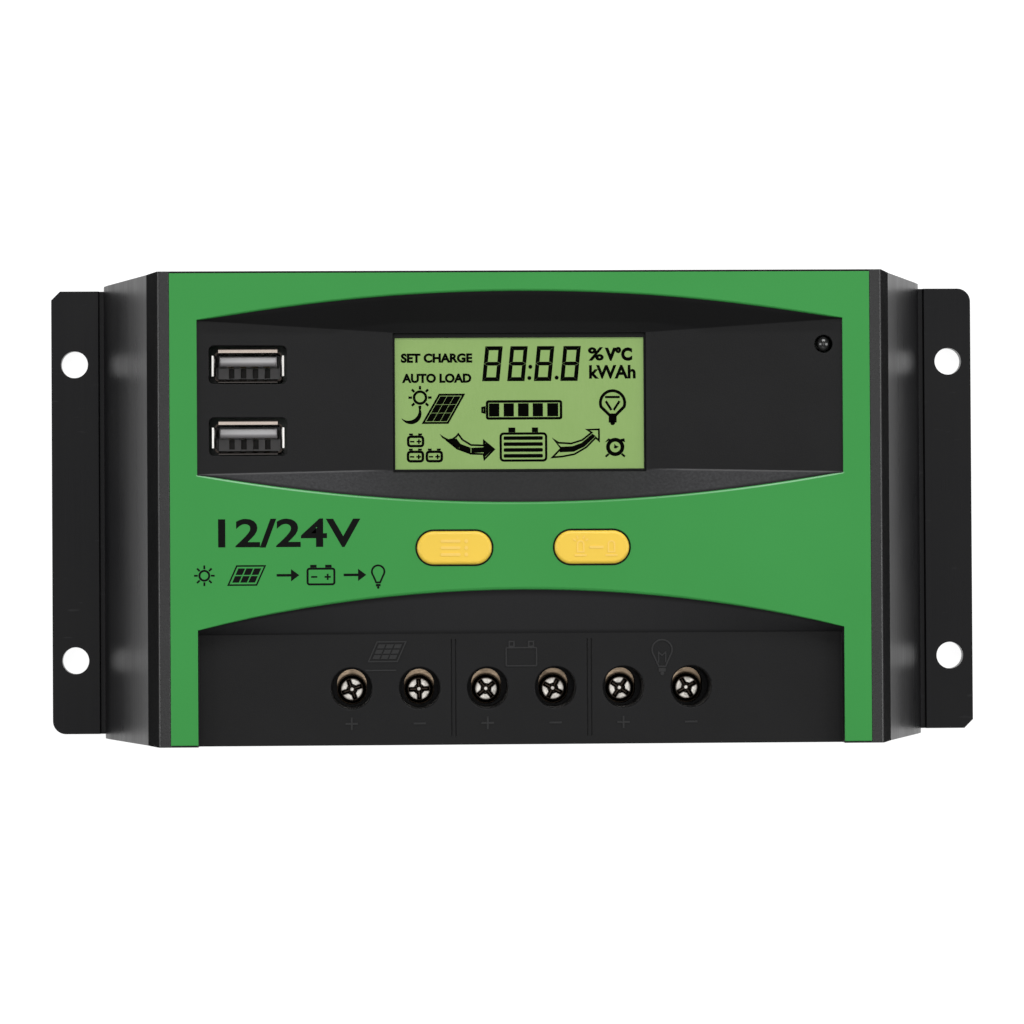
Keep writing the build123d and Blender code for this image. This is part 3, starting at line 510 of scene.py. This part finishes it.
# nodes that have a finish of their own; the screws, the plates round them and the sockets carry painted shade
# about their own axis
own_finish = {"usb_contacts": metal("contact_gold", (0.8, 0.58, 0.26), 0.25, (1, 1, 6), grain=0.3)}
for name, turn in zip(SCREWS, HEAD_TURN):
    wear_and_painted_shade = head_painted_shade(*axis_of(name), turn)
    metal_name = name.replace("terminal_screw", "screw_metal")
    own_finish[name] = metal(metal_name, SCREW_METAL, 0.27, grain=0.25, dull=0.7, stain=1.2, painted_shade_and_tone=wear_and_painted_shade)
wear_and_painted_shade = plate_painted_shadow([axis_of(name) for name in SCREWS])
own_finish["terminal_bars"] = metal("terminal_bars", WARM_NICKEL, 0.32, (6, 1, 1), 0.2, stain=3.0, painted_shade_and_tone=wear_and_painted_shade)
for side in ("upper", "lower"):
    name = "usb_shell_" + side
    looks = {"along": (1, 1, 14), "grain": 0.25, "dull": 0.8, "deep": SOCKET_MOUTH}
    own_finish[name] = metal("nickel_" + side, SHELL_METAL, 0.22, **looks, painted_shade_and_tone=lip_tone_and_painted_shade(*axis_of(name)))
    name = "usb_tongue_" + side
    looks = {"grain": 0.25, "depth": 0.004, "vary": 0.06, "deep": SOCKET_WELL}
    own_finish[name] = plastic("insert_" + side, INSERT_GREY, 0.38, **looks, painted_shade_and_tone=tongue_painted_shade(*axis_of(name)))


def dress(obj, surface):
    """Gives every material slot of an object that surface."""
    if not obj.material_slots:
        obj.data.materials.append(surface.material)
    for slot in obj.material_slots:
        slot.material = surface.material


for part in record["subparts"]:
    name = part["node"]
    dress(nodes[name], own_finish.get(name) or finishes[part["material_slot"]])


# ---- printed and raised marks -------------------------------------------------------------------


def circle(centre, r, count=28, start=0.0, sweep=360.0):
    """Points on a circle or an arc, in degrees anticlockwise from +X."""
    whole = sweep == 360.0
    step = math.radians(sweep) / (count if whole else count - 1)
    angles = [math.radians(start) + step * i for i in range(count)]
    return [(centre[0] + r * math.cos(a), centre[1] + r * math.sin(a)) for a in angles]


def box_points(left, low, right, high):
    """A rectangle's corners, anticlockwise."""
    return [(left, low), (right, low), (right, high), (left, high)]


def rounded(left, low, right, high, r, count=5):
    """A rectangle with round corners."""
    centres = box_points(left + r, low + r, right - r, high - r)
    turns = zip(centres[2:] + centres[:2], (0, 90, 180, 270))
    return [p for centre, start in turns for p in circle(centre, r, count, start, 90.0)]


def area(points):
    """Signed area, above 0 where the outline runs anticlockwise."""
    pairs = zip(points, points[1:] + points[:1])
    return sum(a[0] * b[1] - b[0] * a[1] for a, b in pairs) / 2


def inset(points, distance):
    """The closed outline moved inwards by a distance, with mitred corners."""
    if area(points) < 0:
        points = points[::-1]
    moved = []
    for before, here, after in zip(points[-1:] + points[:-1], points, points[1:] + points[:1]):
        a = (Vector(here) - Vector(before)).normalized()
        b = (Vector(after) - Vector(here)).normalized()
        normal = Vector((-a.y - b.y, a.x + b.x))
        normal.normalize()
        reach = distance / max(normal.dot(Vector((-a.y, a.x))), 0.35)
        moved.append(tuple(Vector(here) + normal * reach))
    return moved


INK_HEIGHT = 0.012  # millimetres, as for every length in the marks


class Marks:
    """Flat marks in millimetres from an origin, which become one thin raised piece."""

    def __init__(self, name, origin, height):
        self.name = name
        self.origin = origin
        self.height = height * MM
        self.mesh = bmesh.new()

    def corner(self, point, level):
        """A vertex at the foot of the marks, level 0, or on their top, level 1."""
        x, y, z = self.origin
        return self.mesh.verts.new((x + point[0] * MM, y + point[1] * MM, z + level * self.height))

    def walls(self, low, high):
        """Upright faces between two closed rows of vertices."""
        for i in range(len(low)):
            j = (i + 1) % len(low)
            self.mesh.faces.new((low[i], low[j], high[j], high[i]))

    def fill(self, points):
        """A filled outline."""
        if area(points) < 0:
            points = points[::-1]
        low = [self.corner(p, 0) for p in points]
        high = [self.corner(p, 1) for p in points]
        self.mesh.faces.new(low[::-1])
        self.mesh.faces.new(high)
        self.walls(low, high)

    def ring(self, outer, inner):
        """The band between two outlines with the same number of points, both anticlockwise."""
        rows = [[self.corner(p, level) for p in line] for line in (outer, inner) for level in (0, 1)]
        out_low, out_high, in_low, in_high = rows
        self.walls(out_low, out_high)
        self.walls(in_low[::-1], in_high[::-1])
        for i in range(len(outer)):
            j = (i + 1) % len(outer)
            self.mesh.faces.new((out_high[i], out_high[j], in_high[j], in_high[i]))
            self.mesh.faces.new((out_low[j], out_low[i], in_low[i], in_low[j]))

    def outline(self, points, width):
        """A closed line just inside the points."""
        if area(points) < 0:
            points = points[::-1]
        self.ring(points, inset(points, width))

    def line(self, points, width):
        """An open line through the points, with mitred bends and square ends."""
        left, right = [], []
        for i, here in enumerate(points):
            last = len(points) - 1
            a = (Vector(points[max(i, 1)]) - Vector(points[max(i, 1) - 1])).normalized()
            b = (Vector(points[min(i, last - 1) + 1]) - Vector(points[min(i, last - 1)])).normalized()
            side = Vector((-a.y - b.y, a.x + b.x)).normalized()
            side = side * (width / 2 / max(side.dot(Vector((-a.y, a.x))), 0.4))
            left.append(tuple(Vector(here) + side))
            right.append(tuple(Vector(here) - side))
        self.fill(right + left[::-1])

    def words(self, text, left, low, right, high, weight):
        """Plain lettering fitted to a box; weight thickens the strokes."""
        curve = bpy.data.curves.new(self.name + "_text", "FONT")
        curve.body = text
        curve.offset = weight
        curve.resolution_u = 4
        curve.extrude = 0.5
        holder = bpy.data.objects.new(self.name + "_text", curve)
        letters = bpy.data.meshes.new_from_object(holder)
        bpy.data.objects.remove(holder)
        co = [v.co for v in letters.vertices]
        size = [(min(c[k] for c in co), max(c[k] for c in co)) for k in (0, 1)]
        for v in letters.vertices:
            u = (v.co[0] - size[0][0]) / (size[0][1] - size[0][0])
            w = (v.co[1] - size[1][0]) / (size[1][1] - size[1][0])
            v.co = (
                self.origin[0] + (left + (right - left) * u) * MM,
                self.origin[1] + (low + (high - low) * w) * MM,
                self.origin[2] + (v.co[2] + 0.5) * self.height,
            )
        self.mesh.from_mesh(letters)
        bpy.data.meshes.remove(letters)

    def piece(self, surface, body="housing"):
        """Makes the object, and declares its body."""
        bmesh.ops.remove_doubles(self.mesh, verts=self.mesh.verts, dist=1e-7)
        bmesh.ops.recalc_face_normals(self.mesh, faces=self.mesh.faces)
        data = bpy.data.meshes.new(self.name)
        self.mesh.to_mesh(data)
        self.mesh.free()
        obj = bpy.data.objects.new(self.name, data)
        bpy.context.scene.collection.objects.link(obj)
        dress(obj, surface)
        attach(obj, body)


def sun(marks, at, r, width, reach):
    """A ring with eight rays."""
    marks.ring(circle(at, r), circle(at, r - width))
    for k in range(8):
        a = math.radians(45 * k)
        start, end = r + width * 0.3, r + reach
        ends = [(at[0] + d * math.cos(a), at[1] + d * math.sin(a)) for d in (start, end)]
        marks.line(ends, width * 0.9)


def panel(marks, corners, columns, rows, width, gap):
    """A slanted solar panel: an outline round a grid of cells. corners run anticlockwise from lower left."""
    marks.outline(list(corners), width)
    a, b, c, d = [Vector(p) for p in inset(list(corners), width + gap)]
    for i in range(columns):
        for j in range(rows):
            cell = []
            for u, v in ((i, j), (i + 1, j), (i + 1, j + 1), (i, j + 1)):
                low = a.lerp(b, u / columns)
                high = d.lerp(c, u / columns)
                cell.append(tuple(low.lerp(high, v / rows)))
            marks.fill(inset(cell, gap / 2))


def bulb(marks, at, r, width):
    """A pear-shaped lamp with its cap below."""
    glass = circle(at, r, 22, -35.0, 250.0)
    neck = 0.36 * r
    foot = at[1] - 1.62 * r
    glass = [(at[0] + neck, foot)] + glass + [(at[0] - neck, foot)]
    marks.outline(glass, width)
    marks.fill(box_points(at[0] - neck * 0.9, foot - 0.42 * r, at[0] + neck * 0.9, foot - 0.08 * r))
    marks.fill(circle((at[0], foot - 0.58 * r), neck * 0.5, 12))


def plus_minus(marks, at, size, width, plus=True):
    """A plus made of one outline, or a minus."""
    h, w = size / 2, width / 2
    x, y = at
    if plus:
        arms = [(w, h), (-w, h), (-w, w), (-h, w), (-h, -w), (-w, -w)]
        arms += [(-w, -h), (w, -h), (w, -w), (h, -w), (h, w), (w, w)]
        marks.fill([(x + u, y + v) for u, v in arms])
    else:
        marks.fill(box_points(x - h, y - w, x + h, y + w))


def battery(marks, left, low, right, high, width):
    """A battery seen from the side: a rounded case with two terminals."""
    rise = (high - low) * 0.14
    marks.outline(rounded(left, low, right, high - rise, width * 1.4, 4), width)
    wide = (right - left) * 0.22
    from_side = (right - left) * 0.24
    for x in (left + from_side, right - from_side):
        marks.fill(box_points(x - wide / 2, high - rise + 0.02, x + wide / 2, high))


def digit(marks, left, low, wide, tall, bar, lean):
    """All seven segments of one leaning digit; bar is their width."""
    gap = 0.012
    mid = low + tall / 2

    def lean_over(points):
        return [(x + (y - low) * lean, y) for x, y in points]

    def flat(y0, y1, cut0, cut1):
        x0, x1 = left + gap, left + wide - gap
        return [(x0 + cut0, y0), (x1 - cut0, y0), (x1 - cut1, y1), (x0 + cut1, y1)]

    marks.fill(lean_over(flat(low, low + bar, 0.0, bar)))
    marks.fill(lean_over(flat(low + tall - bar, low + tall, bar, 0.0)))
    half = bar / 2
    thin = half - 0.03
    ends = [(left + 0.08, mid), (left + bar, mid - thin), (left + wide - bar, mid - thin)]
    ends += [(left + wide - 0.08, mid), (left + wide - bar, mid + thin), (left + bar, mid + thin)]
    marks.fill(lean_over(ends))
    for y0, y1, first in ((low + gap, mid - gap, True), (mid + gap, low + tall - gap, False)):
        for side in (0, 1):
            out = left if side == 0 else left + wide
            turn = 1 if side == 0 else -1
            in_low = y0 + (bar if first else half)
            in_high = y1 - (half if first else bar)
            post = [(out, y0), (out + turn * bar, in_low), (out + turn * bar, in_high), (out, y1)]
            marks.fill(lean_over(post))


# The display's segments, in millimetres from the middle of its glass.
lcd = Marks("lcd_segments", top_of("lcd_front_glass", 0.004), INK_HEIGHT)

# state words, value and units
lcd.words("SET CHARGE", -23.2, 8.0, -9.2, 9.85, 0.05)
lcd.words("AUTO LOAD", -23.0, 4.05, -9.4, 5.9, 0.05)
for left in (-7.3, -2.38, 2.84, 8.03):
    digit(lcd, left, 4.35, 3.4, 6.85, 0.78, 0.1)
for at in ((2.18, 7.15), (1.98, 4.95), (7.33, 5.0)):
    lcd.fill(circle(at, 0.4, 14))
lcd.words("%", 13.5, 8.3, 16.6, 10.95, 0.034)
lcd.words("V°C", 16.8, 8.25, 22.2, 11.0, 0.058)
lcd.words("kWAh", 13.7, 4.75, 22.85, 7.45, 0.036)

# day and night, panel: the moon is one circle less another
sun(lcd, (-19.48, 1.2), 1.42, 0.5, 0.85)
moon_out, moon_in, moon_r = Vector((-21.27, -1.94)), Vector((-21.78, -1.25)), 2.07
shift = moon_out - moon_in
facing = math.degrees(math.atan2(shift.y, shift.x))
reach = math.degrees(math.acos(shift.length / 2 / moon_r))
outer_arc = circle(tuple(moon_out), moon_r, 20, facing - (180 - reach), 2 * (180 - reach))
inner_arc = circle(tuple(moon_in), moon_r, 20, facing - reach, 2 * reach)
lcd.fill(outer_arc + inner_arc[::-1][1:-1])
panel(lcd, ((-19.2, -3.97), (-13.95, -3.97), (-10.6, 1.94), (-15.8, 1.94)), 3, 3, 0.4, 0.07)

# charge level
lcd.outline(rounded(-6.6, -3.2, 8.4, 0.62, 0.5, 4), 0.5)
lcd.outline([(-6.65, -2.05), (-6.65, -0.5), (-7.5, -0.7), (-7.5, -1.85)], 0.4)
for left, right in ((-6.0, -3.96), (-3.1, -1.1), (-0.3, 1.8), (2.6, 4.6), (5.45, 7.6)):
    lcd.fill(box_points(left, -2.58, right, 0.0))

# lamp
glass = circle((18.28, 0.0), 2.68, 26, -20.0, 220.0)
lcd.outline([(19.05, -2.65)] + glass + [(17.51, -2.65)], 0.58)
lcd.fill(box_points(17.5, -3.85, 19.06, -2.6))
lcd.fill(circle((18.28, -3.9), 0.48, 14))
lcd.line([(16.8, 1.15), (19.7, 1.15)], 0.46)
lcd.line([(16.95, 0.35), (18.05, -1.4)], 0.46)
lcd.line([(19.65, 0.35), (18.5, -1.4)], 0.46)

# battery types
for left, top in ((-22.1, -5.83), (-22.15, -8.8), (-18.45, -8.8)):
    battery(lcd, left, top - 2.72, left + 3.42, top, 0.5)
    plus_minus(lcd, (left + 1.05, top - 1.6), 0.85, 0.3, plus=False)
    plus_minus(lcd, (left + 2.35, top - 1.6), 0.9, 0.3)

# arrow from the panel into the battery; flow collects the stripes inside both arrows
arrow = [(-15.72, -5.92), (-14.95, -6.45), (-14.0, -6.95), (-13.2, -6.8), (-12.55, -6.35), (-12.02, -5.68)]
arrow += [(-11.1, -6.95), (-9.5, -7.95), (-7.2, -8.05), (-7.2, -6.95), (-4.75, -8.98), (-7.05, -11.3)]
arrow += [(-7.25, -10.1), (-9.6, -10.02), (-12.3, -9.0), (-14.35, -7.35)]
lcd.outline(arrow, 0.36)
flow = [[(-14.0, -7.35), (-12.95, -7.15), (-12.45, -7.0), (-11.7, -8.0), (-12.0, -8.55), (-13.0, -8.1)]]
flow.append([(-11.5, -8.1), (-9.75, -8.75), (-9.75, -9.5), (-11.75, -8.8)])
head = [(-7.0, -8.72), (-6.75, -8.0), (-5.45, -9.0), (-6.75, -10.2), (-7.0, -9.45)]
flow.append([(-9.35, -8.82)] + head + [(-9.35, -9.55)])

# battery bank
lcd.outline(rounded(-3.95, -11.45, 5.42, -5.7, 0.8, 5), 0.46)
for left, right in ((-2.2, -0.84), (2.41, 3.62)):
    lcd.fill(box_points(left, -5.68, right, -4.75))
for y in (-6.82, -8.0, -9.15, -10.3):
    lcd.fill(rounded(-3.15, y - 0.36, 4.55, y + 0.36, 0.22, 3))

# arrow from the battery to the load
lift = [(6.3, -6.75), (7.7, -7.6), (10.1, -7.75), (12.2, -7.1), (13.85, -5.8), (12.8, -5.1), (15.75, -5.0)]
lift += [(15.75, -7.8), (14.95, -7.05), (13.2, -8.8), (10.8, -10.2), (8.4, -10.65), (5.95, -10.85)]
lcd.outline(lift + [(7.9, -8.85)], 0.36)
upper_side = [(8.1, -8.7), (10.4, -8.6), (12.2, -7.95), (14.3, -6.2)]
flow.append(upper_side + [(14.7, -6.5), (12.7, -8.4), (10.6, -9.4), (8.0, -9.5)])
for points in flow:
    lcd.fill(inset(points, -0.14))

# timer
lcd.ring(circle((18.75, -8.65), 1.8, 24), circle((18.75, -8.65), 1.05, 24))
for side in (-1, 1):
    x = 18.75 + side * 1.55
    lcd.fill([(x - 0.3, -7.5), (x - side * 0.75, -7.15), (x + 0.25, -6.95), (x + side * 0.4, -7.75)][:: side])
    lcd.line([(x - side * 0.3, -10.0), (x + side * 0.35, -10.55)], 0.4)
lcd.fill([(18.5, -8.9), (18.6, -8.0), (18.85, -8.35), (19.5, -8.6), (18.9, -8.95)])
lcd.piece(mark_finishes["segment_ink"])

# label print: the supply voltages, and panel, battery and lamp under them
label_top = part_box("front_label")[1].z
ink = Marks("label_print", (0.0, 0.0, label_top + 0.002 * MM), INK_HEIGHT)
ink.words("12/24V", -58.9, -7.5, -31.3, -1.9, 0.02)
row_low, row_high = -14.9, -10.9
row_mid = (row_low + row_high) / 2
sun(ink, (-61.6, row_mid), 1.15, 0.4, 0.85)
corners = ((-57.2, row_low), (-51.4, row_low), (-49.6, row_high), (-55.4, row_high))
panel(ink, corners, 3, 2, 0.3, 0.22)
for x in (-47.6, -34.6):
    tip = x + 4.4
    head = [(tip - 1.6, row_mid - 1.2), (tip, row_mid), (tip - 1.6, row_mid + 1.2)]
    low, high = row_mid - 0.25, row_mid + 0.25
    ink.fill(head + [(tip - 1.6, high), (x, high), (x, low), (tip - 1.6, low)])
battery(ink, -41.8, row_low, -36.2, row_high, 0.4)
plus_minus(ink, (-40.3, row_mid - 0.35), 1.2, 0.34, plus=False)
plus_minus(ink, (-37.7, row_mid - 0.35), 1.2, 0.34)
bulb(ink, (-27.9, row_high - 1.4), 1.4, 0.36)
ink.piece(mark_finishes["label_ink"])

# raised symbols on the buttons: a list, and a lamp that goes on and off
for name in ("menu", "load"):
    icon = Marks(f"button_{name}_icon", top_of("button_" + name, -0.01), 0.1)
    if name == "menu":
        for y in (-1.3, 0.0, 1.3):
            icon.fill(rounded(-2.7, y - 0.28, 1.2, y + 0.28, 0.24, 3))
            icon.fill(circle((2.3, y), 0.38, 12))
    else:
        icon.fill(rounded(-0.5, -0.26, 2.3, 0.26, 0.22, 3))
        for x in (-2.2, 3.8):
            dome = circle((x, 0.6), 0.75, 12, 0.0, 180.0)
            icon.outline([(x + 0.75, -1.05)] + dome + [(x - 0.75, -1.05)], 0.3)
            icon.fill(rounded(x - 1.2, -1.75, x + 1.2, -1.4, 0.15, 3))
        for a in (35, 65, 115, 145):
            way = Vector((math.cos(math.radians(a)), math.sin(math.radians(a))))
            icon.line([tuple(Vector((-2.2, 0.6)) + way * d) for d in (1.15, 1.8)], 0.28)
    icon.piece(mark_finishes["button_mark"], f"{name}_button")

# raised marks in the terminal bay: polarity under each screw, and panel, battery and lamp over the pairs
bay_floor = 42.0 * MM
marks = Marks("terminal_marks", (0.0, 0.0, bay_floor - 0.01 * MM), 0.16)
screw_x = [axis_of(name)[0] for name in SCREWS]
for i, x in enumerate(screw_x):
    plus_minus(marks, (x, -42.0), 2.4, 0.34, plus=i % 2 == 0)
pair_x = [(screw_x[2 * k] + screw_x[2 * k + 1]) / 2 for k in range(3)]
x = pair_x[0]
panel(marks, ((x - 3.5, -30.0), (x + 2.4, -30.0), (x + 4.2, -25.9), (x - 1.7, -25.9)), 3, 3, 0.26, 0.24)
marks.line([(x - 3.9, -31.6), (x + 2.1, -31.6)], 0.26)
x = pair_x[1]
marks.outline(rounded(x - 3.1, -31.0, x + 3.1, -27.2, 0.3, 4), 0.26)
for side in (-1, 1):
    marks.outline(box_points(x + side * 1.9 - 0.6, -27.2, x + side * 1.9 + 0.6, -26.0), 0.26)
x = pair_x[2]
bulb(marks, (x + 1.0, -27.9), 2.1, 0.28)
marks.line([(x + 0.3, -30.4), (x + 0.3, -28.4), (x + 1.0, -29.0), (x + 1.7, -28.4), (x + 1.7, -30.4)], 0.24)
marks.piece(mark_finishes["bay_mark"])


# ---- floor, light and camera --------------------------------------------------------------------


def link(name, data, location):
    """A new object in the scene."""
    obj = bpy.data.objects.new(name, data)
    obj.location = location
    bpy.context.scene.collection.objects.link(obj)
    return obj


FLOOR_HALF = 3.0
FLOOR_DROP = 0.3 * MM
floor_mesh = bpy.data.meshes.new("studio_floor")
corners = [(x, y, 0) for x, y in box_points(-FLOOR_HALF, -FLOOR_HALF, FLOOR_HALF, FLOOR_HALF)]
floor_mesh.from_pydata(corners, [], [(0, 1, 2, 3)])
floor = link("studio_floor", floor_mesh, (0, 0, -FLOOR_DROP))
paper = Surface("studio_floor", Emission_Color=(1, 1, 1, 1), Emission_Strength=0.95)
paper.shader.inputs["Base Color"].default_value = (0.2, 0.2, 0.2, 1)
paper.shader.inputs["Roughness"].default_value = 0.9
floor_mesh.materials.append(paper.material)

world = bpy.data.worlds.new("studio")
world.use_nodes = True
sky = world.node_tree.nodes["Background"]
sky.inputs["Color"].default_value = (1, 1, 1, 1)
sky.inputs["Strength"].default_value = 0.22
bpy.context.scene.world = world


def softbox(name, place, size, power):
    """A soft rectangular light that faces the object; sizes in metres and power in watts."""
    data = bpy.data.lights.new(name, "AREA")
    data.shape = "RECTANGLE"
    data.size, data.size_y = size
    data.energy = power
    obj = link(name, data, place)
    obj.rotation_euler = (-Vector(place)).to_track_quat("-Z", "Y").to_euler()


softbox("top_light", (0.05, 0.1, 1.6), (0.9, 0.9), 2.4)
softbox("key_light", (0.1, 0.9, 0.8), (1.0, 0.5), 9.2)
softbox("fill_light", (-0.1, -0.8, 0.85), (1.0, 0.4), 0.7)
softbox("left_light", (-1.0, 0.0, 0.7), (0.5, 0.9), 4.8)
softbox("right_light", (1.0, 0.0, 0.7), (0.5, 0.9), 5.2)

# the photo's viewpoint, about 0.78 m over the front face
camera_data = bpy.data.cameras.new("camera")
camera_data.sensor_width = 36.0
camera_data.lens = 140.48
camera_data.clip_start = 0.05
camera_data.clip_end = 10.0
camera = link("camera", camera_data, (-0.028373, -0.010190, 0.822829))
camera.rotation_euler = Euler((0.0122116, -0.0341089, -0.0057038), "XYZ")
bpy.context.scene.camera = camera
bpy.context.scene.view_settings.view_transform = "Standard"
